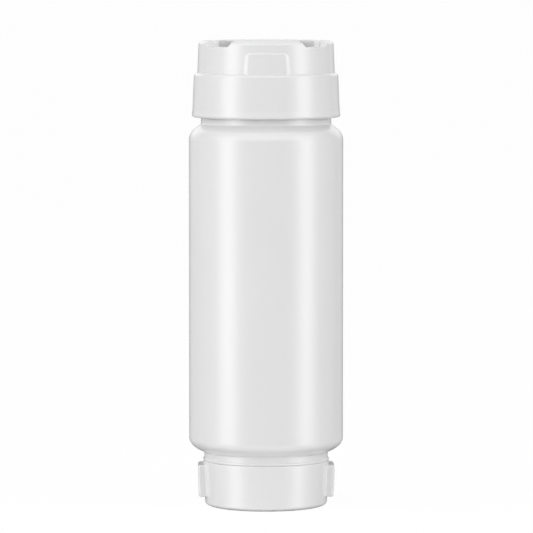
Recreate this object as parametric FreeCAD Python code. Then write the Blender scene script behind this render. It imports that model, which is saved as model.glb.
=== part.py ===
"""Double-ended squeeze bottle with a wide top cap and a narrow foot cap, both screwed on.

Millimetres.  +Z is up.  The bottle stands on its foot cap at z = 0, its axis is the Z axis, and
its front, where the top cap carries a thumb panel, faces -Y.  Heights add up from the foot, so
a longer wall or a taller cap moves everything above it.
"""
import FreeCAD, Part
import math
import os

from FreeCAD import Vector

# Foot cap: a shallow cup that closes the narrow end and carries the bottle
FOOT_CAP_HEIGHT = 21.0
FOOT_CAP_WALL = 2.15
FOOT_CAP_TAPER = 0.9
FOOT_CAP_FLOOR = 2.0
FOOT_CAP_RIM_ROUND = 0.9
FOOT_ROUND_INWARD = 4.1
FOOT_ROUND_UPWARD = 2.0

# Grip lugs at the two sides of the foot cap
LUG_PROUD = 2.35
LUG_WIDTH = 16.4
LUG_HEIGHT = 14.7
LUG_BELOW_RIM = 1.7
LUG_STRAIGHT_HEIGHT = 4.6
LUG_DRAFT_DEG = 2.0
LUG_EDGE_ROUND = 1.0

# Bottle, from the narrow neck up to the wide one
BODY_RADIUS = 35.0
WALL_HEIGHT = 135.0
LOWER_FINISH_STEP = 1.9
LOWER_NECK_LENGTH = 2.7
BEAD_STEP = 0.46
BEAD_HEIGHT = 0.8
BEAD_SLOPE_HEIGHT = 0.4
LOWER_SHOULDER_WIDTH = 6.9
LOWER_SHOULDER_DROP = 7.4
LOWER_SHOULDER_REACH = 13.7
UPPER_SHOULDER_WIDTH = 5.45
UPPER_SHOULDER_ROUND = 6.5
UPPER_SHOULDER_TILT_DEG = 51.4
UPPER_NECK_LENGTH = 3.05
UPPER_NECK_FILLET = 0.8
THREAD_BAND_START = 4.0
THREAD_BAND_STEP = 1.1

# Top cap: skirt with a rolled lip, ledge and crown
SKIRT_HEIGHT = 19.95
SKIRT_WALL = 1.8
SKIRT_FLARE = 0.6
LIP_STEP = 0.33
LIP_HEIGHT = 3.2
LIP_ROUND = 1.2
LEDGE_WIDTH = 1.6
LEDGE_ROUND = 1.5
DECK_THICKNESS = 2.0
CROWN_HEIGHT = 14.6
CROWN_TAPER = 0.55
CROWN_RIM_ROUND = 1.7

# Two finger wells sunk in the crown, with a flat bar between them
CROWN_WALL = 5.9
WELL_DEPTH = 11.0
WELL_CORNER_ROUND = 2.0
WELL_FLOOR_ROUND = 1.0
WELL_EDGE_ROUND = 0.6
BAR_WIDTH = 28.8

# Drain notches through the crown wall, one on each side of the front
NOTCH_DEPTH = 2.5
NOTCH_FRONT_ANGLE_DEG = 30.4
NOTCH_SIDE_ANGLE_DEG = 65.0
NOTCH_SLOPE_DEG = 47.0
NOTCH_SLOPED_WALL = 3.7

# Thumb panel on the front of the crown
PANEL_HEIGHT = 9.3
PANEL_TOP_WIDTH = 17.5
PANEL_FOOT_WIDTH = 18.0
PANEL_PROUD = 0.45
PANEL_CORNER_ROUND = 1.3
PANEL_SIDE_RUN = 1.3
PANEL_SIDE_DEPTH = 2.6

# Fits between the pieces
THREAD_CLEARANCE = 0.3
BEAD_GAP = 0.2

AXIS_START = Vector(0, 0, 0)
AXIS_UP = Vector(0, 0, 1)
FULL_TURN = 360.0
CUT_MARGIN = 2.0


def profile_point(radius, height):
    """Return the point of a turned profile at a radius and a height."""
    return Vector(radius, 0, height)


def chain(*points):
    """Return the straight edges that join profile points, given as radius and height."""
    ends = [profile_point(*point) for point in points]
    return [Part.LineSegment(start, end).toShape() for start, end in zip(ends, ends[1:])]


def round_corner(centre, radius, start_deg, end_deg):
    """Return the arc of a round corner, with angles measured upward from outward."""
    def on_arc(angle_deg):
        angle = math.radians(angle_deg)
        return profile_point(centre[0] + radius * math.cos(angle), centre[1] + radius * math.sin(angle))

    return Part.Arc(on_arc(start_deg), on_arc((start_deg + end_deg) / 2), on_arc(end_deg)).toShape()


def oval_corner(centre, reach, rise, start_deg, end_deg):
    """Return the arc of a corner that reaches further inward than it rises."""
    outer_end = profile_point(centre[0] + reach, centre[1])
    upper_end = profile_point(centre[0], centre[1] + rise)
    ellipse = Part.Ellipse(outer_end, upper_end, profile_point(*centre))
    return Part.ArcOfEllipse(ellipse, math.radians(start_deg), math.radians(end_deg)).toShape()


def turn(edges):
    """Turn a closed profile about the Z axis into a solid."""
    wire = Part.Wire(Part.__sortEdges__(edges))
    return Part.Face(wire).revolve(AXIS_START, AXIS_UP, FULL_TURN)


def cylinder(radius, low, high):
    """Return a solid cylinder about the Z axis between two heights."""
    return Part.makeCylinder(radius, high - low, Vector(0, 0, low))


def mirrored_in_x(shape):
    """Return the shape seen in a mirror that stands on the plane x = 0."""
    return shape.mirror(AXIS_START, Vector(1, 0, 0))


def edges_where(shape, test):
    """Return the edges of a shape whose bounding box passes a test."""
    return [edge for edge in shape.Edges if test(edge.BoundBox)]


# Radii of the bottle, and of the caps that fit over its necks
UPPER_NECK_RADIUS = BODY_RADIUS - UPPER_SHOULDER_WIDTH
THREAD_BAND_RADIUS = UPPER_NECK_RADIUS + THREAD_BAND_STEP
CAP_BORE_RADIUS = THREAD_BAND_RADIUS + THREAD_CLEARANCE
SKIRT_TOP_RADIUS = CAP_BORE_RADIUS + SKIRT_WALL
SKIRT_LOW_RADIUS = SKIRT_TOP_RADIUS + SKIRT_FLARE
CROWN_FOOT_RADIUS = SKIRT_TOP_RADIUS - LEDGE_WIDTH
CROWN_TOP_RADIUS = CROWN_FOOT_RADIUS - CROWN_TAPER
WELL_RADIUS = CROWN_TOP_RADIUS - CROWN_WALL
LOWER_NECK_RADIUS = BODY_RADIUS - LOWER_SHOULDER_WIDTH
LOWER_FINISH_RADIUS = LOWER_NECK_RADIUS - LOWER_FINISH_STEP
FOOT_BORE_RADIUS = LOWER_FINISH_RADIUS + THREAD_CLEARANCE
FOOT_CAP_TOP_RADIUS = FOOT_BORE_RADIUS + FOOT_CAP_WALL
FOOT_CAP_LOW_RADIUS = FOOT_CAP_TOP_RADIUS - FOOT_CAP_TAPER
LUG_REACH = FOOT_CAP_TOP_RADIUS + LUG_PROUD

# Heights of the bottle, added up from the foot
BEAD_UNDERSIDE = FOOT_CAP_HEIGHT + BEAD_GAP
BEAD_TOP = BEAD_UNDERSIDE + BEAD_HEIGHT
LOWER_NECK_START = BEAD_TOP + BEAD_SLOPE_HEIGHT
LOWER_NECK_END = LOWER_NECK_START + LOWER_NECK_LENGTH

# The lower shoulder is a quarter of an oval, cut short where it meets the neck
LOWER_OVAL_RADIUS = BODY_RADIUS - LOWER_SHOULDER_REACH
LOWER_OVAL_ANGLE = math.acos((LOWER_NECK_RADIUS - LOWER_OVAL_RADIUS) / LOWER_SHOULDER_REACH)
WALL_START = LOWER_NECK_END + LOWER_SHOULDER_DROP * math.sin(LOWER_OVAL_ANGLE)
WALL_END = WALL_START + WALL_HEIGHT

# The upper shoulder is a round corner that runs out into a cone up to the neck
SHOULDER_TILT = math.radians(UPPER_SHOULDER_TILT_DEG)
CONE_START_RADIUS = BODY_RADIUS - UPPER_SHOULDER_ROUND * (1 - math.cos(SHOULDER_TILT))
CONE_START = WALL_END + UPPER_SHOULDER_ROUND * math.sin(SHOULDER_TILT)
CONE_END = CONE_START + (CONE_START_RADIUS - UPPER_NECK_RADIUS) / math.tan(SHOULDER_TILT)

# Heights of the top cap, which rests with its deck on the neck's mouth
SKIRT_BOTTOM = CONE_END + UPPER_NECK_LENGTH
LEDGE = SKIRT_BOTTOM + SKIRT_HEIGHT
DECK_UNDERSIDE = LEDGE - DECK_THICKNESS
RIM = LEDGE + CROWN_HEIGHT
WELL_FLOOR = RIM - WELL_DEPTH
NOTCH_FLOOR = RIM - NOTCH_DEPTH


def make_bottle():
    """Return the shut bottle: two closed necks, two shoulders and the wall between them."""
    oval_centre = (LOWER_OVAL_RADIUS, WALL_START)
    round_centre = (BODY_RADIUS - UPPER_SHOULDER_ROUND, WALL_END)
    bead_radius = LOWER_NECK_RADIUS + BEAD_STEP
    band_start = SKIRT_BOTTOM + THREAD_BAND_START

    edges = chain(
        (0, FOOT_CAP_FLOOR),
        (LOWER_FINISH_RADIUS, FOOT_CAP_FLOOR),
        (LOWER_FINISH_RADIUS, BEAD_UNDERSIDE),
        (bead_radius, BEAD_UNDERSIDE),
        (bead_radius, BEAD_TOP),
        (LOWER_NECK_RADIUS, LOWER_NECK_START),
        (LOWER_NECK_RADIUS, LOWER_NECK_END),
    )
    edges.append(oval_corner(oval_centre, LOWER_SHOULDER_REACH, LOWER_SHOULDER_DROP,
                             -math.degrees(LOWER_OVAL_ANGLE), 0))
    edges += chain((BODY_RADIUS, WALL_START), (BODY_RADIUS, WALL_END))
    edges.append(round_corner(round_centre, UPPER_SHOULDER_ROUND, 0, UPPER_SHOULDER_TILT_DEG))
    edges += chain(
        (CONE_START_RADIUS, CONE_START),
        (UPPER_NECK_RADIUS, CONE_END),
        (UPPER_NECK_RADIUS, band_start),
        (THREAD_BAND_RADIUS, band_start),
        (THREAD_BAND_RADIUS, DECK_UNDERSIDE),
        (0, DECK_UNDERSIDE),
        (0, FOOT_CAP_FLOOR),
    )
    bottle = turn(edges)

    def neck_root(box):
        return abs(box.ZMin - CONE_END) < 0.01 and abs(box.ZMax - CONE_END) < 0.01

    return bottle.makeFillet(UPPER_NECK_FILLET, edges_where(bottle, neck_root))


def make_lug():
    """Return the lug on the +X side, straight above its middle and drafted below it."""
    top = FOOT_CAP_HEIGHT - LUG_BELOW_RIM
    kink = top - LUG_STRAIGHT_HEIGHT
    bottom = top - LUG_HEIGHT
    draft = (kink - bottom) * math.tan(math.radians(LUG_DRAFT_DEG))
    inner = LOWER_FINISH_RADIUS - LUG_WIDTH / 2

    def outline(height, inset):
        half = LUG_WIDTH / 2 - inset
        reach = LUG_REACH - inset
        corners = [(inner, -half), (reach, -half), (reach, half), (inner, half), (inner, -half)]
        return Part.makePolygon([Vector(x, y, height) for x, y in corners])

    straight = Part.makeLoft([outline(kink, 0), outline(top, 0)], True, True)
    drafted = Part.makeLoft([outline(bottom, draft), outline(kink, 0)], True, True)
    lug = straight.fuse(drafted)

    def outer_edge(box):
        flat = box.ZMax - box.ZMin < 0.01
        at_end = abs(box.ZMin - top) < 0.01 or abs(box.ZMax - bottom) < 0.01
        upright = not flat and box.XMin > LUG_REACH - draft - 0.01
        return upright or (flat and at_end and box.XMax > LUG_REACH - draft - 0.01)

    return lug.makeFillet(LUG_EDGE_ROUND, edges_where(lug, outer_edge))


def make_foot_cap():
    """Return the foot cap with its oval foot, rounded rim, bore and two grip lugs."""
    foot_centre = (FOOT_CAP_LOW_RADIUS - FOOT_ROUND_INWARD, FOOT_ROUND_UPWARD)
    rim_centre = (FOOT_CAP_TOP_RADIUS - FOOT_CAP_RIM_ROUND, FOOT_CAP_HEIGHT - FOOT_CAP_RIM_ROUND)

    edges = chain((0, 0), (foot_centre[0], 0))
    edges.append(oval_corner(foot_centre, FOOT_ROUND_INWARD, FOOT_ROUND_UPWARD, -90, 0))
    edges += chain((FOOT_CAP_LOW_RADIUS, foot_centre[1]), (FOOT_CAP_TOP_RADIUS, rim_centre[1]))
    edges.append(round_corner(rim_centre, FOOT_CAP_RIM_ROUND, 0, 90))
    edges += chain((rim_centre[0], FOOT_CAP_HEIGHT), (0, FOOT_CAP_HEIGHT), (0, 0))

    lug = make_lug()
    blank = turn(edges).fuse([lug, mirrored_in_x(lug)])
    bore = cylinder(FOOT_BORE_RADIUS, FOOT_CAP_FLOOR, FOOT_CAP_HEIGHT + CUT_MARGIN)
    return blank.cut(bore).removeSplitter()


def make_cap_blank():
    """Return the turned top cap: crown, ledge, skirt, rolled lip and bore, with no details."""
    lip_radius = SKIRT_LOW_RADIUS + LIP_STEP
    lip_centre = (lip_radius - LIP_ROUND, SKIRT_BOTTOM + LIP_ROUND)
    ledge_centre = (SKIRT_TOP_RADIUS - LEDGE_ROUND, LEDGE - LEDGE_ROUND)
    rim_centre = (CROWN_TOP_RADIUS - CROWN_RIM_ROUND, RIM - CROWN_RIM_ROUND)

    edges = chain(
        (0, DECK_UNDERSIDE),
        (CAP_BORE_RADIUS, DECK_UNDERSIDE),
        (CAP_BORE_RADIUS, SKIRT_BOTTOM),
        (lip_centre[0], SKIRT_BOTTOM),
    )
    edges.append(round_corner(lip_centre, LIP_ROUND, -90, 0))
    edges += chain(
        (lip_radius, lip_centre[1]),
        (SKIRT_LOW_RADIUS, SKIRT_BOTTOM + LIP_HEIGHT),
        (SKIRT_TOP_RADIUS, ledge_centre[1]),
    )
    edges.append(round_corner(ledge_centre, LEDGE_ROUND, 0, 90))
    edges += chain((ledge_centre[0], LEDGE), (CROWN_FOOT_RADIUS, LEDGE), (CROWN_TOP_RADIUS, rim_centre[1]))
    edges.append(round_corner(rim_centre, CROWN_RIM_ROUND, 0, 90))
    edges += chain((rim_centre[0], RIM), (0, RIM), (0, DECK_UNDERSIDE))
    return turn(edges)


def make_well():
    """Return the space of the finger well on the +X side, a D with rounded corners."""
    half_bar = BAR_WIDTH / 2
    size = 2 * WELL_RADIUS
    side = Part.makeBox(size, 2 * size, size, Vector(half_bar, -size, WELL_FLOOR - CUT_MARGIN))
    well = cylinder(WELL_RADIUS, WELL_FLOOR, RIM + CUT_MARGIN).common(side)

    def corner(box):
        return box.ZLength > WELL_DEPTH and box.XLength < 0.01 and box.YLength < 0.01

    well = well.makeFillet(WELL_CORNER_ROUND, edges_where(well, corner))

    def floor_edge(box):
        return abs(box.ZMin - WELL_FLOOR) < 0.01 and box.ZLength < 0.01

    return well.makeFillet(WELL_FLOOR_ROUND, edges_where(well, floor_edge))


def make_notch():
    """Return the space of the drain notch on the +X side of the front.

    Its front end slopes all the way through the crown wall. Its side end slopes through the
    outer part of the wall and stands upright further in. It stops at the side of the bar.
    """
    front_angle = math.radians(NOTCH_FRONT_ANGLE_DEG)
    side_angle = math.radians(NOTCH_SIDE_ANGLE_DEG)
    well_angle = math.asin(BAR_WIDTH / 2 / WELL_RADIUS)
    slope = math.tan(math.radians(NOTCH_SLOPE_DEG))
    seam = CROWN_TOP_RADIUS - NOTCH_SLOPED_WALL
    high = RIM + CUT_MARGIN

    def from_axis(radius, angle):
        return Vector(radius * math.sin(angle), -radius * math.cos(angle), 0)

    front_outer = from_axis(CROWN_TOP_RADIUS, front_angle)
    front_inner = from_axis(WELL_RADIUS, well_angle)
    side_outer = from_axis(CROWN_TOP_RADIUS, side_angle)
    side_inner = from_axis(WELL_RADIUS, side_angle)
    front_way = (front_outer - front_inner).normalize()
    side_way = (side_outer - side_inner).normalize()

    def outline(height, front_spread, side_spread):
        """Return the four corners at a height, spread away from the notch's middle."""
        front = front_way.cross(AXIS_UP) * front_spread
        side = AXIS_UP.cross(side_way) * side_spread
        corners = [front_inner - front_way * CROWN_WALL + front,
                   front_outer + front_way * CROWN_WALL + front,
                   side_outer + side_way * CROWN_WALL + side,
                   side_inner - side_way * CROWN_WALL + side]
        corners.append(corners[0])
        return Part.makePolygon([corner + Vector(0, 0, height) for corner in corners])

    narrow = -NOTCH_DEPTH / slope
    wide = CUT_MARGIN / slope
    floor = outline(NOTCH_FLOOR, narrow, narrow)
    sloped = Part.makeLoft([floor, outline(high, wide, wide)], True, True)
    upright = Part.makeLoft([floor, outline(high, wide, narrow)], True, True)
    space = sloped.cut(cylinder(seam, NOTCH_FLOOR, high)).fuse(upright)
    size = 2 * CROWN_TOP_RADIUS
    beside_bar = Part.makeBox(size, size, size, Vector(BAR_WIDTH / 2, -size, NOTCH_FLOOR))
    return space.common(beside_bar)


def make_panel():
    """Return the thumb panel: a flat face with sloped sides and rounded upper corners."""
    face_y = -(CROWN_FOOT_RADIUS + PANEL_PROUD)
    root_y = face_y + PANEL_SIDE_DEPTH
    back_y = face_y + CROWN_WALL

    def outline(y, spread):
        half_foot = PANEL_FOOT_WIDTH / 2 + spread
        half_top = PANEL_TOP_WIDTH / 2 + spread
        corner = PANEL_CORNER_ROUND + spread
        top = LEDGE + PANEL_HEIGHT
        shoulder = top - corner
        lean = corner * (1 - math.sin(math.radians(45)))

        def right(x, z):
            return Vector(x, y, z)

        def left(x, z):
            return Vector(-x, y, z)

        edges = [
            Part.LineSegment(left(half_foot, LEDGE), right(half_foot, LEDGE)),
            Part.LineSegment(right(half_foot, LEDGE), right(half_top, shoulder)),
            Part.Arc(right(half_top, shoulder), right(half_top - lean, top - lean),
                     right(half_top - corner, top)),
            Part.LineSegment(right(half_top - corner, top), left(half_top - corner, top)),
            Part.Arc(left(half_top - corner, top), left(half_top - lean, top - lean),
                     left(half_top, shoulder)),
            Part.LineSegment(left(half_top, shoulder), left(half_foot, LEDGE)),
        ]
        return Part.Wire([edge.toShape() for edge in edges])

    sides = Part.makeLoft([outline(root_y, PANEL_SIDE_RUN), outline(face_y, 0)], True, True)
    root = Part.Face(outline(root_y, PANEL_SIDE_RUN)).extrude(Vector(0, back_y - root_y, 0))
    return sides.fuse(root)


def make_top_cap():
    """Return the top cap with its wells, drain notches and thumb panel."""
    well = make_well()
    cap = make_cap_blank().cut([well, mirrored_in_x(well)])

    def well_edge(box):
        level = abs(box.ZMin - RIM) < 0.01 and box.ZLength < 0.01
        return level and max(abs(box.XMin), abs(box.XMax)) < WELL_RADIUS + 0.01

    cap = cap.makeFillet(WELL_EDGE_ROUND, edges_where(cap, well_edge))
    notch = make_notch()
    cap = cap.cut([notch, mirrored_in_x(notch)])
    return cap.fuse(make_panel()).removeSplitter()


def main():
    """Build each piece and write it to its own file."""
    os.makedirs("parts", exist_ok=True)
    pieces = {
        "bottle_body": make_bottle(),
        "top_cap": make_top_cap(),
        "foot_cap": make_foot_cap(),
    }
    for name, shape in pieces.items():
        solid = shape.Solids[0]
        print(f"{name}: {len(shape.Solids)} solid, valid {solid.isValid()}, volume {solid.Volume:.0f} mm3, "
              f"height {solid.BoundBox.ZMin:.2f} to {solid.BoundBox.ZMax:.2f}")
        solid.exportStep(f"parts/{name}.step")


main()
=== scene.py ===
"""Double-ended squeeze bottle: the visual model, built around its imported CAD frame.

Every length is in metres.  +Z is up, the bottle's axis is the Z axis and its front faces -Y.
Turns about the axis are measured from the front, towards +X.  The places and outer sizes come
from the frame's boxes, and the sizes of the details are the fields of each piece's class.
"""

import logging
import math
from dataclasses import dataclass
from enum import Enum
from typing import Any, Sequence

import bmesh
import bpy
import numpy as np
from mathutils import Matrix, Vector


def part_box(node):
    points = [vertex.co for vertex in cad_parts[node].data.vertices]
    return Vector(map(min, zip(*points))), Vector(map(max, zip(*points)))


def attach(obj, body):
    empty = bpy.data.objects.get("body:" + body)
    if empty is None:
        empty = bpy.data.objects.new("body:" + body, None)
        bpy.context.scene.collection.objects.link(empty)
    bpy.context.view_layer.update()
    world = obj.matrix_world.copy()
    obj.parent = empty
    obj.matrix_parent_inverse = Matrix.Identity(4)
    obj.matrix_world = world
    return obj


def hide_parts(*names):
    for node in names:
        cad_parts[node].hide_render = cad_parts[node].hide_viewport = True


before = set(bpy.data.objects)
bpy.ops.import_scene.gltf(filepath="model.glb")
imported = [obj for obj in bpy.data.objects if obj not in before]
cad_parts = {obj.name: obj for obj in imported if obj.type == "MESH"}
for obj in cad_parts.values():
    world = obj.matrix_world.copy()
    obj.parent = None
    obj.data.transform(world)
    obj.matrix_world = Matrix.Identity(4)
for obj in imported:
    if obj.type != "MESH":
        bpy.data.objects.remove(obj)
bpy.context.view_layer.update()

LOG = logging.getLogger("squeeze_bottle")
MM = 0.001
HUG = 0.05 * MM  # how close an extra row lies to the edge of a flat face
WELD = 0.0005 * MM  # distance under which two points are one
SHARP_ANGLE = math.radians(50)  # bend from which an edge is shaded sharp
FLAT_SHARES = (0.04, 0.5, 0.96, 1.0)  # rows on a narrow flat face, as shares of its width
ROOT = "root"


class Node(str, Enum):
    """The frame's nodes, one for each moulded piece."""

    BOTTLE = "bottle_body"
    TOP_CAP = "top_cap"
    FOOT_CAP = "foot_cap"


class Slot(str, Enum):
    """The record's material slots."""

    BOTTLE = "bottle_plastic"
    CAP = "cap_plastic"


# --------------------------------------------------------------------------------------------
# Curves


def straight(start: Sequence[float], end: Sequence[float], pieces: int = 1) -> np.ndarray:
    """Points along a straight run, with one more point close to each end.

    The points are start + (end - start) * t, and the two extra ones keep the shading of a flat
    face flat up to its edges.

    Args:
        start: First point.
        end: Last point.
        pieces: Number of equal pieces between the ends.

    Returns:
        The points, one per row.
    """
    start, end = np.asarray(start, float), np.asarray(end, float)
    length = float(np.linalg.norm(end - start))
    shares = np.linspace(0, 1, pieces + 1)
    if length > 4 * HUG:
        shares = np.sort(np.append(shares, [HUG / length, 1 - HUG / length]))
    return start + (end - start) * shares[:, None]


def oval(centre: Sequence[float], reach: float, rise: float, start_deg: float, end_deg: float,
         steps: int) -> np.ndarray:
    """Points on an oval: centre + (reach * cos(angle), rise * sin(angle)) at even angles.

    Args:
        centre: Middle of the oval.
        reach: Half its width.
        rise: Half its height.
        start_deg: First angle, in degrees.
        end_deg: Last angle, in degrees.
        steps: Number of pieces.

    Returns:
        The points, one per row.
    """
    angle = np.radians(np.linspace(start_deg, end_deg, steps + 1))
    spokes = np.column_stack([reach * np.cos(angle), rise * np.sin(angle)])
    return np.asarray(centre, float) + spokes


def eased_corner(before: Sequence[float], corner: Sequence[float], after: Sequence[float],
                 steps: int = 5) -> np.ndarray:
    """Points that cut a corner: (1-t)^2 * before + 2t(1-t) * corner + t^2 * after.

    Args:
        before: Point on the way in, where the easing starts.
        corner: The corner itself.
        after: Point on the way out, where the easing ends.
        steps: Number of pieces.

    Returns:
        The points, one per row.
    """
    t = np.linspace(0, 1, steps + 1)[:, None]
    before, corner, after = (np.asarray(p, float) for p in (before, corner, after))
    return (1 - t) ** 2 * before + 2 * t * (1 - t) * corner + t ** 2 * after


def rounded_run(corners: Sequence[tuple[float, float, float]], steps: int = 6) -> np.ndarray:
    """Points along straight runs whose corners are round.

    Each corner's arc touches both of its runs: it starts radius / tan(half the corner's angle)
    before the corner, and its centre is radius / sin(half that angle) away from it.

    Args:
        corners: Radius, height and rounding of each corner, in order.
        steps: Number of pieces in each arc.

    Returns:
        The points, one per row.
    """
    places = np.array([corner[:2] for corner in corners], float)
    arcs = [places[:1]]
    for back, here, fore, (_, _, rounding) in zip(places, places[1:], places[2:], corners[1:]):
        if rounding == 0:
            arcs.append(here[None])
            continue
        way_back = (back - here) / np.linalg.norm(back - here)
        way_on = (fore - here) / np.linalg.norm(fore - here)
        half = math.acos(np.clip(way_back @ way_on, -1, 1)) / 2
        inward = (way_back + way_on) / np.linalg.norm(way_back + way_on)
        centre = here + inward * rounding / math.sin(half)
        begin = here + way_back * rounding / math.tan(half) - centre
        end = here + way_on * rounding / math.tan(half) - centre
        turn = math.atan2(begin[0] * end[1] - begin[1] * end[0], begin @ end)
        angle = math.atan2(begin[1], begin[0]) + np.linspace(0, turn, steps + 1)
        arcs.append(centre + rounding * np.column_stack([np.cos(angle), np.sin(angle)]))
    arcs.append(places[-1:])
    runs = [straight(one[-1], two[0]) for one, two in zip(arcs, arcs[1:])]
    return join(*[part for pair in zip(arcs, runs) for part in pair])


def join(*runs: np.ndarray) -> np.ndarray:
    """Joins runs end to end and drops points that repeat the one before.

    Args:
        runs: The runs, each with one point per row.

    Returns:
        The points, one per row.
    """
    points = np.vstack(runs)
    kept = np.append(True, np.linalg.norm(np.diff(points, axis=0), axis=1) > WELD)
    return points[kept]


def polar(radius: np.ndarray, turn: np.ndarray, height: np.ndarray) -> np.ndarray:
    """Places at a radius and a turn from the front: (r * sin(turn), -r * cos(turn), height)."""
    radius, turn, height = np.broadcast_arrays(radius, turn, height)
    return np.stack([radius * np.sin(turn), -radius * np.cos(turn), height], axis=-1)


def soft_min(one: np.ndarray, two: np.ndarray, ease: float) -> np.ndarray:
    """The smaller of two values, eased where they differ by less than ease.

    It is min(a, b) - h^2 * ease / 4, where h is 1 - |a - b| / ease, never below 0.

    Args:
        one: The first values.
        two: The second values.
        ease: Difference under which the easing starts.

    Returns:
        The eased values.
    """
    blend = np.clip(1 - np.abs(one - two) / ease, 0, None)
    return np.minimum(one, two) - blend ** 2 * ease / 4


def soft_max(one: np.ndarray, two: np.ndarray, ease: float) -> np.ndarray:
    """The larger of two values, eased as in soft_min."""
    return -soft_min(-one, -two, ease)


def eased_ramp(place: np.ndarray, run: float, ease: float) -> np.ndarray:
    """Rises from 0 at place 0 to run at place run, with both bends eased.

    It is soft_max(place, 0) below the middle and soft_min(place, run) above it.

    Args:
        place: Distances along the ramp.
        run: Length of the ramp.
        ease: Height by which the easing moves each bend.

    Returns:
        The heights of the ramp.
    """
    return np.where(place < run / 2, soft_max(place, np.zeros_like(place), 4 * ease),
                    soft_min(place, np.full_like(place, run), 4 * ease))


def outward(turn: np.ndarray) -> np.ndarray:
    """Level directions at turns from the front: (sin(turn), -cos(turn)), one per row."""
    return np.column_stack([np.sin(turn), -np.cos(turn)])


# --------------------------------------------------------------------------------------------
# Meshes


class Skin:
    """A closed surface, gathered from grids of points and welded where they meet."""

    def __init__(self, name: str) -> None:
        """Starts an empty surface.

        Args:
            name: Name of the piece.
        """
        self.name = name
        self._points: list[np.ndarray] = []
        self._quads: list[np.ndarray] = []
        self._count = 0

    def add(self, grid: np.ndarray, turned: bool = False) -> None:
        """Adds a grid whose columns run anticlockwise seen from outside when its rows run up.

        Args:
            grid: Rows by columns by 3 coordinates.
            turned: True for a mirrored grid, whose faces would point inwards.
        """
        rows, columns = grid.shape[:2]
        index = self._count + np.arange(rows * columns).reshape(rows, columns)
        quads = np.stack([index[:-1, :-1], index[:-1, 1:], index[1:, 1:], index[1:, :-1]], axis=-1)
        quads = quads.reshape(-1, 4)
        self._quads.append(quads[:, ::-1] if turned else quads)
        self._points.append(grid.reshape(-1, 3))
        self._count += rows * columns

    def add_both_sides(self, grid: np.ndarray) -> None:
        """Adds a grid and its mirror image in the plane x = 0."""
        self.add(grid)
        self.add(grid * np.array([-1.0, 1.0, 1.0]), turned=True)

    def build(self) -> bpy.types.Object:
        """Welds the grids and puts the surface into the scene.

        Returns:
            The new mesh object, at the origin, with its place in its mesh.
        """
        points, quads = np.vstack(self._points), np.vstack(self._quads)
        mesh = bpy.data.meshes.new(self.name)
        mesh.vertices.add(len(points))
        mesh.vertices.foreach_set("co", points.astype(np.float32).ravel())
        mesh.loops.add(quads.size)
        mesh.loops.foreach_set("vertex_index", quads.astype(np.int32).ravel())
        mesh.polygons.add(len(quads))
        mesh.polygons.foreach_set("loop_start", np.arange(0, quads.size, 4, dtype=np.int32))
        mesh.update(calc_edges=True)
        welded = bmesh.new()
        welded.from_mesh(mesh)
        bmesh.ops.remove_doubles(welded, verts=welded.verts, dist=WELD)
        bmesh.ops.dissolve_degenerate(welded, edges=welded.edges, dist=WELD)
        loose = [edge for edge in welded.edges if not edge.is_manifold]
        welded.to_mesh(mesh)
        welded.free()
        mesh.polygons.foreach_set("use_smooth", np.ones(len(mesh.polygons), bool))
        mesh.set_sharp_from_angle(angle=SHARP_ANGLE)
        piece = bpy.data.objects.new(self.name, mesh)
        bpy.context.scene.collection.objects.link(piece)
        LOG.info("%s: %d points, %d faces, %d open edges", self.name, len(mesh.vertices),
                 len(mesh.polygons), len(loose))
        return piece


def turned_grid(profile: np.ndarray, turns: np.ndarray) -> np.ndarray:
    """Carries a profile of radius and height round the axis, one column for each turn."""
    return polar(profile[:, :1], turns[None, :], profile[:, 1:])


# --------------------------------------------------------------------------------------------
# Materials


class Value:
    """A number that varies over a surface: it wraps a socket, and sums on it add Math nodes."""

    def __init__(self, recipe: "Recipe", socket: bpy.types.NodeSocket) -> None:
        """Wraps an output socket of a recipe's node."""
        self.recipe = recipe
        self.socket = socket

    def _math(self, operation: str, one: "Value | float", two: "Value | float") -> "Value":
        """Adds a Math node on two values."""
        return self.recipe.node("ShaderNodeMath", {"operation": operation}, {0: one, 1: two})

    def __add__(self, other: "Value | float") -> "Value":
        """This value plus another."""
        return self._math("ADD", self, other)

    def __radd__(self, other: float) -> "Value":
        """A number plus this value."""
        return self._math("ADD", other, self)

    def __sub__(self, other: "Value | float") -> "Value":
        """This value less another."""
        return self._math("SUBTRACT", self, other)

    def __rsub__(self, other: float) -> "Value":
        """A number less this value."""
        return self._math("SUBTRACT", other, self)

    def __mul__(self, other: "Value | float") -> "Value":
        """This value times another."""
        return self._math("MULTIPLY", self, other)

    def __rmul__(self, other: float) -> "Value":
        """A number times this value."""
        return self._math("MULTIPLY", other, self)

    def at_most(self, limit: "Value | float") -> "Value":
        """The smaller of this value and a limit."""
        return self._math("MINIMUM", self, limit)

    def at_least(self, limit: "Value | float") -> "Value":
        """The larger of this value and a limit."""
        return self._math("MAXIMUM", self, limit)


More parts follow.
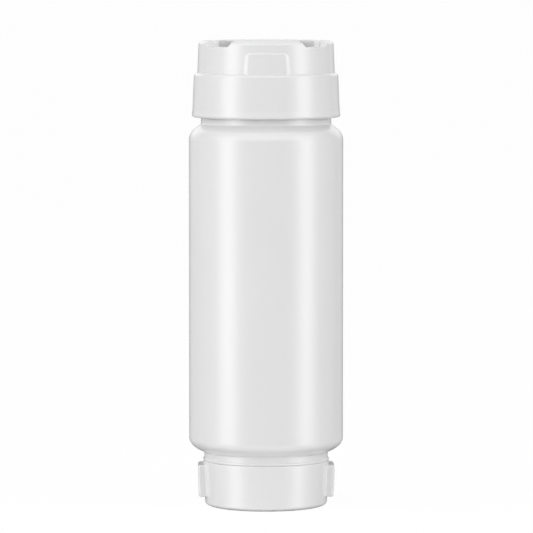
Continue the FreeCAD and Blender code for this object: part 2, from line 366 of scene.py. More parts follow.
class Recipe:
    """A node tree being written, for a material or the world."""

    def __init__(self, owner: bpy.types.Material | bpy.types.World) -> None:
        """Clears the owner's nodes.

        Args:
            owner: The material or world that is written.
        """
        owner.use_nodes = True
        self.tree = owner.node_tree
        self.tree.nodes.clear()

    def node(self, kind: str, settings: dict[str, Any] | None = None,
             inputs: dict[int | str, Any] | None = None, output: int | str = 0) -> Value | None:
        """Adds a node.

        Args:
            kind: The node's type.
            settings: Its own settings, by name, which are set first.
            inputs: Values or links of its sockets, by name or number.
            output: The output to return, by name or number.

        Returns:
            That output, wrapped, or nothing where the node has none.
        """
        made = self.tree.nodes.new(kind)
        for name, setting in (settings or {}).items():
            setattr(made, name, setting)
        for name, given in (inputs or {}).items():
            if isinstance(given, Value):
                self.tree.links.new(given.socket, made.inputs[name])
            else:
                made.inputs[name].default_value = given
        return Value(self, made.outputs[output]) if made.outputs else None

    def place(self) -> Value:
        """The point on the object, in its own metres."""
        return self.node("ShaderNodeTexCoord", output="Object")

    def noise(self, place: Value, size: float, stretch: tuple[float, float, float] = (1, 1, 1),
              detail: float = 2.0) -> Value:
        """Cloudy noise from 0 to 1.

        Args:
            place: The point it is read at.
            size: Size of its clouds, in metres.
            stretch: How much longer the clouds are along each axis.
            detail: How many finer layers it has.

        Returns:
            The noise.
        """
        scale = tuple(1 / (size * longer) for longer in stretch)
        scaled = self.node("ShaderNodeVectorMath", {"operation": "MULTIPLY"}, {0: place, 1: scale})
        return self.node("ShaderNodeTexNoise", None,
                         {"Vector": scaled, "Scale": 1.0, "Detail": detail, "Roughness": 0.5})

    def remap(self, value: Value, given: tuple[float, float], wanted: tuple[float, float]) -> Value:
        """Stretches a range of a value onto another range, and stops at its ends.

        Args:
            value: The value.
            given: Its low and high end.
            wanted: The low and high end of the result.

        Returns:
            The result.
        """
        return self.node("ShaderNodeMapRange", {"clamp": True},
                         {"Value": value, "From Min": given[0], "From Max": given[1],
                          "To Min": wanted[0], "To Max": wanted[1]})


@dataclass(frozen=True)
class MouldedPlastic:
    """Semi-gloss white plastic: a faint cloudiness, soft scuffs and a moulded skin.

    Attributes:
        name: Name of the material.
        tone: Colour of the plastic, as linear grey.
        cloud: How far the colour wanders either way, as a share.
        roughness: Roughness of clean skin.
        scuff: Roughness that the scuffs add.
        ripple: Height of the skin's ripple, in metres.
        ripple_size: Width of one ripple, in metres.
        grain: Height of the fine grain, in metres.
        streak: How much longer the ripples are along the axis.
        cloud_size: Size of the colour's clouds, in metres.
        scuff_size: Size of the scuffs, in metres.
        grain_size: Width of one grain, in metres.
        cloud_range: Noise between which the colour wanders.
        scuff_range: Noise between which the scuffs set in.
        refraction: Index of refraction.
    """

    name: str
    tone: float
    cloud: float
    roughness: float
    scuff: float
    ripple: float
    ripple_size: float
    grain: float
    streak: float
    cloud_size: float = 24 * MM
    scuff_size: float = 9 * MM
    grain_size: float = 0.35 * MM
    cloud_range: tuple[float, float] = (0.3, 0.7)
    scuff_range: tuple[float, float] = (0.55, 0.75)
    refraction: float = 1.5

    def make(self) -> bpy.types.Material:
        """Writes the material's nodes: colour, roughness and the height of the skin.

        Returns:
            The material.
        """
        material = bpy.data.materials.new(self.name)
        recipe = Recipe(material)
        place = recipe.place()
        clouds = recipe.noise(place, self.cloud_size, (1, 1, 2), 3.0)
        shade = recipe.remap(clouds, self.cloud_range, (1 - self.cloud, 1 + self.cloud))
        colour = recipe.node("ShaderNodeVectorMath", {"operation": "SCALE"},
                             {0: (self.tone,) * 3, "Scale": shade})
        scuffs = recipe.noise(place, self.scuff_size, (1, 1, 3), 6.0)
        worn = recipe.remap(scuffs, self.scuff_range, (0.0, self.scuff))
        fine = recipe.noise(place, self.grain_size)
        ripple = recipe.noise(place, self.ripple_size, (1, 1, self.streak), 1.0)
        height = ripple * self.ripple + fine * self.grain
        skin = recipe.node("ShaderNodeBump", None,
                           {"Strength": 1.0, "Distance": 1.0, "Height": height})
        shader = recipe.node("ShaderNodeBsdfPrincipled", None, {
            "Base Color": colour,
            "Roughness": worn + self.roughness,
            "IOR": self.refraction,
            "Normal": skin,
        })
        recipe.node("ShaderNodeOutputMaterial", None, {"Surface": shader})
        return material


BOTTLE_PLASTIC = MouldedPlastic("bottle_polyethylene", tone=0.76, cloud=0.008, roughness=0.20,
                                scuff=0.03, ripple=0.004 * MM, ripple_size=7 * MM,
                                grain=0.0004 * MM, streak=5.0)
CAP_PLASTIC = MouldedPlastic("cap_polypropylene", tone=0.76, cloud=0.006, roughness=0.20,
                             scuff=0.03, ripple=0.002 * MM, ripple_size=4 * MM,
                             grain=0.0004 * MM, streak=1.0)


def dress(piece: bpy.types.Object, finish: MouldedPlastic, node: Node) -> None:
    """Gives a piece its finish and its place in the frame.

    Args:
        piece: The finished mesh object.
        finish: What it is made of.
        node: The CAD node that it stands for.
    """
    piece.data.materials.append(finish.make())
    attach(piece, ROOT)
    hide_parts(node.value)


# --------------------------------------------------------------------------------------------
# Bottle


@dataclass
class BlownBottle:
    """The blown bottle, turned about its axis: two necks, two shoulders and the wall.

    Attributes:
        radius: Radius of the wall.
        low: Height of its lower end, inside the foot cap.
        high: Height of its upper end, under the top cap's deck.
        foot_rim: Height of the foot cap's rim.
        skirt: Height of the top cap's lower edge.
        lower_shoulder: How far the wall stands outside the lower neck.
        lower_drop: Half height of the lower shoulder's oval.
        lower_reach: Half width of that oval.
        lower_neck: Height of the lower neck above its bead.
        finish_step: How far the lower neck stands outside the finish inside the foot cap.
        bead_gap: Gap between the foot cap's rim and the bead.
        bead_step: How far the bead stands outside the lower neck.
        bead_height: Height of the bead's upright face.
        bead_slope: Height of the slope over it.
        upper_shoulder: How far the wall stands outside the upper neck.
        upper_round: Radius of the upper shoulder.
        upper_tilt_deg: Angle that it turns through before the cone starts.
        upper_neck: Height of the upper neck that shows under the skirt.
        upper_fillet: Radius of the hollow between the cone and the neck.
        turn_in: Height of the eased corner under the lower shoulder.
        turn_in_deg: Angle of the oval that the same corner takes up.
        band_start: How far above the skirt's lower edge the thread band starts.
        band_step: How far the thread band stands outside the upper neck.
        edge: Radius of its small edges.
        columns: Number of faces round it.
    """

    radius: float
    low: float
    high: float
    foot_rim: float
    skirt: float
    lower_shoulder: float = 6.9 * MM
    lower_drop: float = 7.4 * MM
    lower_reach: float = 13.7 * MM
    lower_neck: float = 2.7 * MM
    finish_step: float = 1.9 * MM
    bead_gap: float = 0.03 * MM
    bead_step: float = 0.46 * MM
    bead_height: float = 0.8 * MM
    bead_slope: float = 0.4 * MM
    upper_shoulder: float = 5.45 * MM
    upper_round: float = 6.5 * MM
    upper_tilt_deg: float = 51.4
    upper_neck: float = 3.05 * MM
    upper_fillet: float = 0.8 * MM
    turn_in: float = 0.6 * MM
    turn_in_deg: float = 3.0
    band_start: float = 4.0 * MM
    band_step: float = 1.1 * MM
    edge: float = 0.15 * MM
    columns: int = 288

    def lower_half(self) -> np.ndarray:
        """Profile from the lower end up to the wall: finish, bead, neck and oval shoulder.

        Returns:
            The points, as radius and height.
        """
        neck = self.radius - self.lower_shoulder
        bead = neck + self.bead_step
        under = self.foot_rim + self.bead_gap
        neck_start = under + self.bead_height + self.bead_slope
        neck_end = neck_start + self.lower_neck
        centre_radius = self.radius - self.lower_reach
        angle = math.acos((neck - centre_radius) / self.lower_reach)
        centre = (centre_radius, neck_end + self.lower_drop * math.sin(angle))
        ways = rounded_run([
            (0, self.low, 0),
            (neck - self.finish_step, self.low, 2 * self.edge),
            (neck - self.finish_step, under, self.edge),
            (bead, under, self.edge),
            (bead, under + self.bead_height, self.edge),
            (neck, neck_start, self.edge),
            (neck, neck_end - self.turn_in, 0),
        ])
        shoulder = oval(centre, self.lower_reach, self.lower_drop,
                        self.turn_in_deg - math.degrees(angle), 0, 40)
        turn_in = eased_corner(ways[-1], (neck, neck_end), shoulder[0])
        return join(ways, turn_in, shoulder)

    def upper_half(self) -> np.ndarray:
        """Profile from the wall up to the upper end: round shoulder, cone, neck and thread band.

        Returns:
            The points, as radius and height.
        """
        neck = self.radius - self.upper_shoulder
        band = neck + self.band_step
        cone_end = self.skirt - self.upper_neck
        tilt = math.radians(self.upper_tilt_deg)
        cone_radius = self.radius - self.upper_round * (1 - math.cos(tilt))
        cone_start = cone_end - (cone_radius - neck) / math.tan(tilt)
        centre = (self.radius - self.upper_round, cone_start - self.upper_round * math.sin(tilt))
        shoulder = oval(centre, self.upper_round, self.upper_round, 0, self.upper_tilt_deg, 32)
        start = self.skirt + self.band_start
        ways = rounded_run([
            (cone_radius, cone_start, 0),
            (neck, cone_end, self.upper_fillet),
            (neck, start, self.edge),
            (band, start, self.edge),
            (band, self.high, 2 * self.edge),
            (0, self.high, 0),
        ], 8)
        return join(shoulder, ways)

    def build(self) -> bpy.types.Object:
        """Turns the whole profile about the axis and dresses it.

        Returns:
            The bottle.
        """
        lower, upper = self.lower_half(), self.upper_half()
        profile = join(lower, straight(lower[-1], upper[0], 60), upper)
        skin = Skin("blown_bottle")
        skin.add(turned_grid(profile, np.linspace(-math.pi, math.pi, self.columns + 1)))
        piece = skin.build()
        dress(piece, BOTTLE_PLASTIC, Node.BOTTLE)
        return piece


# --------------------------------------------------------------------------------------------
# Foot cap


@dataclass
class FootCap:
    """The narrow cap that the bottle stands on, with a grip lug on each side.

    Attributes:
        lug_reach: Distance of the lugs' faces from the axis.
        low: Height of its foot.
        high: Height of its rim.
        lug_proud: How far the lugs stand out of the wall under the rim.
        taper: How much narrower the wall is at the foot.
        wall: Thickness of the wall.
        floor: Thickness of the floor.
        rim_round: Radius of the rim's outer edge.
        foot_inward: Half width of the oval bevel round the foot.
        foot_upward: Half height of that bevel.
        lug_width: Width of a lug.
        lug_height: Height of a lug.
        lug_below_rim: Distance from the rim down to the lugs.
        lug_straight: Height of their upright upper part.
        lug_draft_deg: Draft of their lower part.
        lug_edge: Rounding of their edges.
        lug_fillet: Radius of the hollow where their sides meet the wall.
        root_fillet: Radius of the hollow where their ends meet the wall.
        bore_edge: Rounding of the bore's mouth.
        bore_corner: Radius of the hollow round the bore's floor.
    """

    lug_reach: float
    low: float
    high: float
    lug_proud: float = 2.35 * MM
    taper: float = 0.9 * MM
    wall: float = 2.15 * MM
    floor: float = 2.0 * MM
    rim_round: float = 0.9 * MM
    foot_inward: float = 4.1 * MM
    foot_upward: float = 2.0 * MM
    lug_width: float = 16.4 * MM
    lug_height: float = 14.7 * MM
    lug_below_rim: float = 1.7 * MM
    lug_straight: float = 4.6 * MM
    lug_draft_deg: float = 2.0
    lug_edge: float = 1.0 * MM
    lug_fillet: float = 1.1 * MM
    root_fillet: float = 0.4 * MM
    bore_edge: float = 0.15 * MM
    bore_corner: float = 0.3 * MM

    @property
    def top_radius(self) -> float:
        """Radius of the wall just under the rim."""
        return self.lug_reach - self.lug_proud

    @property
    def low_radius(self) -> float:
        """Radius of the wall just above the foot."""
        return self.top_radius - self.taper

    @property
    def lug_top(self) -> float:
        """Height of the lugs' upper ends."""
        return self.high - self.lug_below_rim

    @property
    def lug_bottom(self) -> float:
        """Height of the lugs' lower ends."""
        return self.lug_top - self.lug_height

    @property
    def kink(self) -> float:
        """Height where the lugs' upright upper part meets their drafted lower part."""
        return self.lug_top - self.lug_straight

    def wall_radius(self, height: float) -> float:
        """Radius of the tapered wall: low_radius + taper * share of the way up.

        Args:
            height: The height.

        Returns:
            The radius.
        """
        span = self.high - self.rim_round - self.low - self.foot_upward
        share = (height - self.low - self.foot_upward) / span
        return self.low_radius + self.taper * share

    def quarter(self, height: float, edge: float) -> np.ndarray:
        """A quarter of the outline at a height, from the lug's middle round to the back.

        It is the lug's flat face, its round corner, its side, a hollow corner that touches the
        side and the wall, and the wall's arc up to a quarter turn.

        Args:
            height: Height of the outline.
            edge: Rounding of the lug's corner at this height.

        Returns:
            The points, as distances out along the lug and across it.
        """
        draft = max(self.kink - height, 0) * math.tan(math.radians(self.lug_draft_deg))
        inset = self.lug_edge + draft
        radius = self.wall_radius(height)
        middle = (self.lug_reach - inset, self.lug_width / 2 - inset)
        side = middle[1] + edge
        fillet = (math.sqrt((radius + self.lug_fillet) ** 2 - (side + self.lug_fillet) ** 2),
                  side + self.lug_fillet)
        touch = math.degrees(math.atan2(fillet[1], fillet[0]))
        return np.vstack([
            straight((middle[0] + edge, 0), (middle[0] + edge, middle[1]), 4),
            oval(middle, edge, edge, 0, 90, 8),
            straight((middle[0], side), (fillet[0], side), 1),
            oval(fillet, self.lug_fillet, self.lug_fillet, -90, touch - 180, 10),
            oval((0, 0), radius, radius, touch, 90, 62),
        ])

    def around(self, quarter: np.ndarray, height: np.ndarray | float) -> np.ndarray:
        """Mirrors a quarter of an outline into a whole one, from the +X side anticlockwise.

        Args:
            quarter: Points from the +X side to the back.
            height: Height of the outline.

        Returns:
            The places, one per row.
        """
        x, y = quarter[:, 0], quarter[:, 1]
        height = np.broadcast_to(height, x.shape)
        mirrors = ((1, 1, 1), (-1, 1, -1), (-1, -1, 1), (1, -1, -1))
        return np.vstack([np.column_stack([x * across, y * along, height])[::way]
                          for across, along, way in mirrors])

    def on_circle(self, quarter: np.ndarray, radius: float) -> np.ndarray:
        """Moves each point of a quarter straight towards the axis, or away, to a radius."""
        return quarter * (radius / np.linalg.norm(quarter, axis=1, keepdims=True))

    def lug_end(self, height: float, up: int) -> list[np.ndarray]:
        """Rows of a lug's flat end, from the wall out to where the edge's rounding starts.

        A hollow corner of the root fillet's size leads off the wall, each point no further
        than the lug itself reaches there, and a flat face follows.

        Args:
            height: Height of the flat end.
            up: 1 for the underside, whose hollow lies below it, and -1 for the upper side.

        Returns:
            The rows, from the wall outward.
        """
        outer = self.quarter(height, 0.0)
        inner = self.on_circle(outer, self.wall_radius(height))
        way = outer - inner
        reach = np.linalg.norm(way, axis=1, keepdims=True)
        way = way / np.maximum(reach, 1e-9)
        near = np.minimum(reach, self.root_fillet)
        rows = []
        for angle in np.radians(np.linspace(0, 90, 6)):
            drop = self.root_fillet * (1 - math.sin(angle))
            rows.append(self.around(inner + way * near * (1 - math.cos(angle)), height - up * drop))
        for share in FLAT_SHARES:
            rows.append(self.around(inner + way * (near + (reach - near) * share), height))
        return rows

    def lug_edge_rows(self, end: float, up: int) -> list[np.ndarray]:
        """Rows round the edge between a lug's flat end and its face.

        The row at an angle lies lug_edge * (1 - cos(angle)) inside the end, and its corner is
        rounded by lug_edge * sin(angle).

        Args:
            end: Height of the flat end.
            up: 1 for the lower end and -1 for the upper one.

        Returns:
            The rows, from the end to the face.
        """
        rows = []
        for angle in np.radians(np.linspace(0, 90, 7)):
            height = end + up * self.lug_edge * (1 - math.cos(angle))
            rows.append(self.around(self.quarter(height, self.lug_edge * math.sin(angle)), height))
        return rows

    def foot_profile(self) -> np.ndarray:
        """Profile from the middle of the foot round its bevel and up to the lugs' roots.

        Returns:
            The points, as radius and height.
        """
        centre = (self.low_radius - self.foot_inward, self.low + self.foot_upward)
        root = self.lug_bottom - self.root_fillet
        return join(straight((0, self.low), (centre[0], self.low), 3),
                    oval(centre, self.foot_inward, self.foot_upward, -90, 0, 16),
                    straight((self.low_radius, centre[1]), (self.wall_radius(root), root), 1))

    def rim_profile(self) -> np.ndarray:
        """Profile from above the lugs over the rim and down the bore to its floor.

        Returns:
            The points, as radius and height.
        """
        start = self.lug_top + self.root_fillet
        rim = (self.top_radius - self.rim_round, self.high - self.rim_round)
        bore, floor = self.top_radius - self.wall, self.low + self.floor
        return join(straight((self.wall_radius(start), start), (self.top_radius, rim[1]), 1),
                    oval(rim, self.rim_round, self.rim_round, 0, 90, 10),
                    rounded_run([(rim[0], self.high, 0), (bore, self.high, self.bore_edge),
                                 (bore, floor, self.bore_corner), (0, floor, 0)], 4))

    def rows(self) -> np.ndarray:
        """All rows of the outside and the bore, from the middle of the foot round to the floor.

        Returns:
            The grid of places.
        """
        below, above = self.quarter(self.lug_bottom, 0.0), self.quarter(self.lug_top, 0.0)
        face_low, face_high = self.lug_bottom + self.lug_edge, self.lug_top - self.lug_edge
        heights = np.concatenate([straight((face_low,), (self.kink,), 4)[:, 0],
                                  straight((self.kink,), (face_high,), 2)[:, 0]])
        return np.stack([
            *(self.around(self.on_circle(below, radius), height)
              for radius, height in self.foot_profile()),
            *self.lug_end(self.lug_bottom, 1),
            *self.lug_edge_rows(self.lug_bottom, 1),
            *(self.around(self.quarter(height, self.lug_edge), height) for height in heights),
            *self.lug_edge_rows(self.lug_top, -1)[::-1],
            *self.lug_end(self.lug_top, -1)[::-1],
            *(self.around(self.on_circle(above, radius), height)
              for radius, height in self.rim_profile()),
        ])

    def build(self) -> bpy.types.Object:
        """Lofts the rows, welds them and dresses the cap.

        Returns:
            The foot cap.
        """
        skin = Skin("foot_screw_cap")
        skin.add(self.rows())
        piece = skin.build()
        dress(piece, CAP_PLASTIC, Node.FOOT_CAP)
        return piece


# --------------------------------------------------------------------------------------------
# Top cap


@dataclass
class ThumbPanel:
    """The raised pad on the front of the crown, bent with it, with gently sloped sides.

    Attributes:
        face: Radius of its face at the foot.
        foot: Height of the ledge that it stands on.
        height: Height of the face.
        top_width: Width of the face at its top.
        foot_width: Width of the face at its foot.
        corner: Rounding of the outline's upper corners.
        side_run: How far a side runs out while it falls by one.
        top_steepness: How many times steeper the upper side is.
        face_lean: How far the face leans back while it rises by one.
        edge: Easing of the edge between the face and a side.
        root: Easing of the hollow between a side and the crown.
        foot_fade: How fast the panel sinks in below the ledge.
    """

    face: float
    foot: float
    height: float = 9.15 * MM
    top_width: float = 17.5 * MM
    foot_width: float = 18.0 * MM
    corner: float = 1.3 * MM
    side_run: float = 3.0
    top_steepness: float = 2.4
    face_lean: float = 0.07
    edge: float = 0.12 * MM
    root: float = 0.12 * MM
    foot_fade: float = 0.6

    def outline_distance(self, across: np.ndarray, height: np.ndarray) -> np.ndarray:
        """Distance outside the face's outline, negative inside it.

        The outline is a box with round upper corners whose sides lean in as they rise:
        distance = |max(q, 0)| + min(max(q), 0) - corner, where q is how far the point lies past
        the box that is smaller by the corner's radius.  Above the outline the distance counts
        top_steepness times, which makes the upper side steeper.

        Args:
            across: Distances to the side.
            height: Heights.

        Returns:
            The distances.
        """
        top = self.foot + self.height
        lean = (self.foot_width - self.top_width) / 2 / (self.height - self.corner)
        half = self.top_width / 2 + (top - self.corner - height) * lean
        past_side = np.abs(across) - (half - self.corner)
        past_top = height - (top - self.corner)
        up, out = np.maximum(past_top, 0), np.maximum(past_side, 0)
        distance = (np.hypot(out, up) + np.minimum(np.maximum(past_side, past_top), 0)
                    - self.corner)
        upward = up ** 2 / np.maximum(up ** 2 + out ** 2, 1e-12)
        return np.where(distance > 0, distance * (1 + (self.top_steepness - 1) * upward), distance)

    def reach(self, turn: np.ndarray, height: np.ndarray) -> np.ndarray:
        """Distance of the panel's surface from the axis, at a turn and a height.

        It is the smaller, eased, of the face, which leans back as it rises, and a side that
        falls away from it by one part for side_run parts outside the outline.

        Args:
            turn: Turns from the front.
            height: Heights.

        Returns:
            The radius of the panel's surface.
        """
        face = self.face - self.face_lean * np.maximum(height - self.foot, 0)
        side = face - self.outline_distance(self.face * np.sin(turn), height) / self.side_run
        fade = np.maximum(self.foot - height, 0) * self.foot_fade
        return soft_min(face, side, self.edge) - fade


@dataclass
class DrainNotch:
    """The notch through the crown's wall on one side of the front, as a depth below the rim.

    Attributes:
        crown: Radius of the crown at its rim.
        well: Radius of the finger well.
        bar: Half the width of the bar.
        depth: Depth of the notch.
        front_deg: Turn of the front end where it meets the rim.
        side_deg: Turn of the side end, whose edge points at the axis.
        slope_deg: Steepness of both ends.
        sloped_wall: Thickness of the wall's outer part, where the side end slopes.
        ease: Easing of the bends at the edge and the foot of an end.
        step: Run of the side end's upright face.
        seam_ease: Width over which the sloped part turns into the upright one.
        bar_steepness: Steepness of the face beside the bar.
        margin: How far before and past an end the columns are pinned.
    """

    crown: float
    well: float
    bar: float
    depth: float = 2.5 * MM
    front_deg: float = 30.4
    side_deg: float = 65.0
    slope_deg: float = 47.0
    sloped_wall: float = 3.7 * MM
    ease: float = 0.15 * MM
    step: float = 0.16 * MM
    seam_ease: float = 0.1 * MM
    bar_steepness: float = 6.0
    margin: float = 0.5 * MM

    def __post_init__(self) -> None:
        """Works out the front end's line, from the rim's corner to the well's."""
        outer = self.crown * outward(np.radians([self.front_deg]))[0]
        self.inner = np.array([self.bar, -math.sqrt(self.well ** 2 - self.bar ** 2)])
        self.way = (outer - self.inner) / np.linalg.norm(outer - self.inner)
        self.run = self.depth / math.tan(math.radians(self.slope_deg))
        self.lean = math.atan2(self.way[0], -self.way[1])
        self.offset = float(self.inner @ self.across)

    @property
    def across(self) -> np.ndarray:
        """Direction from the front end's line into the notch."""
        return np.array([-self.way[1], self.way[0]])

    @property
    def seam(self) -> float:
        """Radius inside which the side end stands upright."""
        return self.crown - self.sloped_wall

    @property
    def marks(self) -> np.ndarray:
        """Distances into the notch: just before an end, its edge, its foot and just past it."""
        return np.array([-self.margin, 0.0, self.run, self.run + self.margin])

    def front_turn(self, place: float | np.ndarray, radius: float) -> np.ndarray:
        """Turns at which lines parallel to the front end cross a circle about the axis.

        Args:
            place: Distances of the lines into the notch.
            radius: Radius of the circle.

        Returns:
            The turns.
        """
        return self.lean + np.arcsin((np.asarray(place) + self.offset) / radius)

    def side_turn(self, place: float | np.ndarray, radius: float) -> np.ndarray:
        """Turns at which lines parallel to the side end cross a circle about the axis.

        Args:
            place: Distances of the lines into the notch.
            radius: Radius of the circle.

        Returns:
            The turns.
        """
        return math.radians(self.side_deg) - np.arcsin(np.asarray(place) / radius)

    def depth_at(self, x: np.ndarray, y: np.ndarray) -> np.ndarray:
        """Depth of the notch below the rim at a place on the crown.

        Each end is an eased ramp of its distance into the notch, times the slope; the side end
        turns into a steep step inside the seam, and a steep face keeps the bar whole.  The
        depth is the least of them.

        Args:
            x: Distances to the side.
            y: Distances to the back.

        Returns:
            The depths, in metres.
        """
        slope = math.tan(math.radians(self.slope_deg))
        side = math.radians(self.side_deg)
        from_front = x * self.across[0] + y * self.across[1] - self.offset
        from_side = -x * math.cos(side) - y * math.sin(side)
        radius = np.hypot(x, y)
        front = eased_ramp(from_front, self.run, self.ease) * slope
        sloped = eased_ramp(from_side, self.run, self.ease) * slope
        step_place = from_side - self.run + self.step / 2
        upright = eased_ramp(step_place, self.step, self.step / 8) * self.depth / self.step
        share = np.clip((self.seam - radius) / self.seam_ease + 0.5, 0, 1)
        ends = np.minimum(front, sloped * (1 - share) + upright * share)
        beside_bar = np.where(y > self.inner[1], np.maximum(x - self.bar, 0) * self.bar_steepness,
                              np.inf)
        return np.clip(np.minimum(ends, beside_bar), 0, self.depth)


@dataclass
class TopCap:
    """The wide screw cap: skirt with a rolled lip, ledge, crown, wells, notches and panel.

    Attributes:
        lip: Outer radius of the rolled lip.
        low: Height of its lower edge.
        high: Height of its rim.
        skirt_height: Height of the skirt, up to the ledge.
        skirt_wall: Thickness of the skirt at its top.
        bore_corner: Radius of the hollow between the bore and the deck.
        bore_edge: Rounding of the bore's mouth.
        flare: How much wider the skirt is at its foot than at its top.
        lip_step: How far the lip stands outside the skirt.
        lip_height: Height of the lip.
        lip_round: Radius of the lip's lower edge.
        lip_bend: Radius of the bend over the lip.
        ledge_width: Width of the ledge.
        ledge_round: Radius of the ledge's outer edge.
        ledge_fillet: Radius of the hollow between the ledge and the crown.
        deck: Thickness of the deck under the ledge.
        crown_taper: How much narrower the crown is at its top.
        rim_round: Radius of the crown's rim.
        crown_wall: Thickness of the crown's wall beside a well.
        well_depth: Depth of a well.
        well_corner: Rounding of a well's corners, seen from above.
        well_floor_round: Radius of the hollow round a well's floor.
        well_edge: Rounding of a well's edge.
        notch_edge: Rounding of a notch's edges.
        bar_width: Width of the bar between the wells.
        bar_bulge_end: Distance from the middle where the bar's rows no longer bulge.
        panel_proud: How far the panel's face stands out of the crown at its foot.
        panel_columns_deg: Turns between which the columns stand close together, and their step.
        panel_turn_deg: Turn up to which the panel is looked for.
        panel_rows: Heights from the panel's top between which the rows are close, and their step.
        rows_below_rim: Where the rows above them start, over the panel, and end, under the rim.
        back_bend: Share of the columns between the bar's ends that bend at the back.
    """

    lip: float
    low: float
    high: float
    skirt_height: float = 19.95 * MM
    skirt_wall: float = 1.8 * MM
    bore_corner: float = 0.3 * MM
    bore_edge: float = 0.25 * MM
    flare: float = 0.6 * MM
    lip_step: float = 0.33 * MM
    lip_height: float = 3.2 * MM
    lip_round: float = 1.2 * MM
    lip_bend: float = 1.2 * MM
    ledge_width: float = 1.6 * MM
    ledge_round: float = 1.5 * MM
    ledge_fillet: float = 0.1 * MM
    deck: float = 2.0 * MM
    crown_taper: float = 0.55 * MM
    rim_round: float = 1.7 * MM
    crown_wall: float = 5.9 * MM
    well_depth: float = 11.0 * MM
    well_corner: float = 2.0 * MM
    well_floor_round: float = 1.0 * MM
    well_edge: float = 0.6 * MM
    notch_edge: float = 0.28 * MM
    bar_width: float = 28.8 * MM
    bar_bulge_end: float = 8.0 * MM
    panel_proud: float = 0.6 * MM
    panel_columns_deg: tuple[float, float, float] = (13.0, 22.0, 0.2)
    panel_turn_deg: float = 25.0
    panel_rows: tuple[float, float, float] = (-1.6 * MM, 0.75 * MM, 0.1 * MM)
    rows_below_rim: tuple[float, float] = (0.9 * MM, 4.0 * MM)
    back_bend: float = 0.07

    def __post_init__(self) -> None:
        """Works out the radii and heights that the fields lead to."""
        self.skirt_low = self.lip - self.lip_step
        self.skirt_top = self.skirt_low - self.flare
        self.bore = self.skirt_top - self.skirt_wall
        self.crown_foot = self.skirt_top - self.ledge_width
        self.crown_top = self.crown_foot - self.crown_taper
        self.ring = self.crown_top - self.rim_round
        self.well = self.crown_top - self.crown_wall
        self.bar = self.bar_width / 2
        self.ledge = self.low + self.skirt_height
        self.wall_top = self.high - self.rim_round
        self.panel = ThumbPanel(self.crown_foot + self.panel_proud, self.ledge)
        self.notch = DrainNotch(self.crown_top, self.well, self.bar)
        inner = self.well - self.well_corner
        self.corner_x = self.bar + self.well_corner
        self.corner_y = math.sqrt(inner ** 2 - self.corner_x ** 2)
        self.corner_turn = math.atan2(self.corner_x, self.corner_y)
        self.taper = self.crown_taper / (self.wall_top - self.ledge)
        self.bar_turn = float(self.notch.front_turn(0.0, self.ring))

    def crown_radius(self, height: np.ndarray) -> np.ndarray:
        """Radius of the crown's wall at heights: crown_foot - taper * height above the ledge."""
        return self.crown_foot - self.taper * (height - self.ledge)

    # Columns: turns on the ring at the rim's inner side, and where the same column runs lower
    # down the wall and on the well's outline.

    def ring_turns(self) -> np.ndarray:
        """Turns of the columns on the ring, from the front round one side to the back.

        They stand close together along the panel's side and the notch's two ends, about a
        degree apart elsewhere, and the bar's back mirrors its front.

        Returns:
            The turns.
        """
        notch, ease, start = self.notch, self.notch.ease, self.bar_turn
        bends = np.linspace(-1.5 * ease, 1.5 * ease, 7)
        slope = np.linspace(2 * ease, notch.run - 2 * ease, 8)
        step = notch.run + np.linspace(-0.1, 0.1, 9) * MM
        front = notch.front_turn(np.concatenate([bends, slope, notch.run + bends]), self.ring)
        side = np.sort(notch.side_turn(np.concatenate([bends, slope, step, notch.run + bends]),
                                       self.ring))
        fine_from, fine_to, fine_step = self.panel_columns_deg
        bar = np.concatenate([
            np.radians(np.arange(0, fine_from, 1.0)),
            np.radians(np.arange(fine_from, fine_to, fine_step)),
            np.radians(np.arange(fine_to, math.degrees(start) - 0.8, 1.0)),
            front[front <= start + 1e-9],
        ])
        beside = np.concatenate([
            front[front > start],
            np.arange(front.max(), side.min(), math.radians(1.0))[1:-1],
            side,
            np.arange(side.max(), math.pi - start, math.radians(1.5))[1:-1],
            [math.pi - start],
        ])
        turns = np.sort(np.concatenate([bar, beside, math.pi - bar[:-1]]))
        return turns[np.append(True, np.diff(turns) > 1e-6)]

    def wall_turns(self, ring: np.ndarray) -> np.ndarray:
        """Turns of the columns on the crown's wall, where notch ends stay parallel to themselves.

        Args:
            ring: Turns of the columns on the ring.

        Returns:
            The turns on the wall.
        """
        notch = self.notch
        fixed = np.radians([0.0, 20.0, 47.0, 80.0, 180.0])
        on_ring, on_wall = (
            np.concatenate([fixed, notch.front_turn(notch.marks, radius),
                            notch.side_turn(notch.marks[::-1], radius)])
            for radius in (self.ring, self.crown_top))
        order = np.argsort(on_ring)
        return np.interp(ring, on_ring[order], on_wall[order])

    def well_directions(self, ring: np.ndarray) -> np.ndarray:
        """Outward directions on the well's outline that columns between the bar's ends lead to.

        A direction of minus a quarter turn is the bar's side, and along the big arc a direction
        is the turn itself.

        Args:
            ring: Turns of the columns on the ring.

        Returns:
            The directions, as turns from the front.
        """
        notch, corner = self.notch, self.corner_turn
        floor_start = float(notch.front_turn(notch.run, self.ring))
        behind = [*np.radians([80.0, 130.0]), math.pi - corner]
        on_ring = np.concatenate([[self.bar_turn, floor_start, corner],
                                  notch.side_turn(notch.marks[::-1], self.ring),
                                  behind, [math.pi - self.bar_turn]])
        on_well = np.concatenate([[-math.pi / 2, self.fillet_direction(notch.run), corner],
                                  notch.side_turn(notch.marks[::-1], self.well),
                                  behind, [1.5 * math.pi]])
        return np.interp(ring, on_ring, on_well)

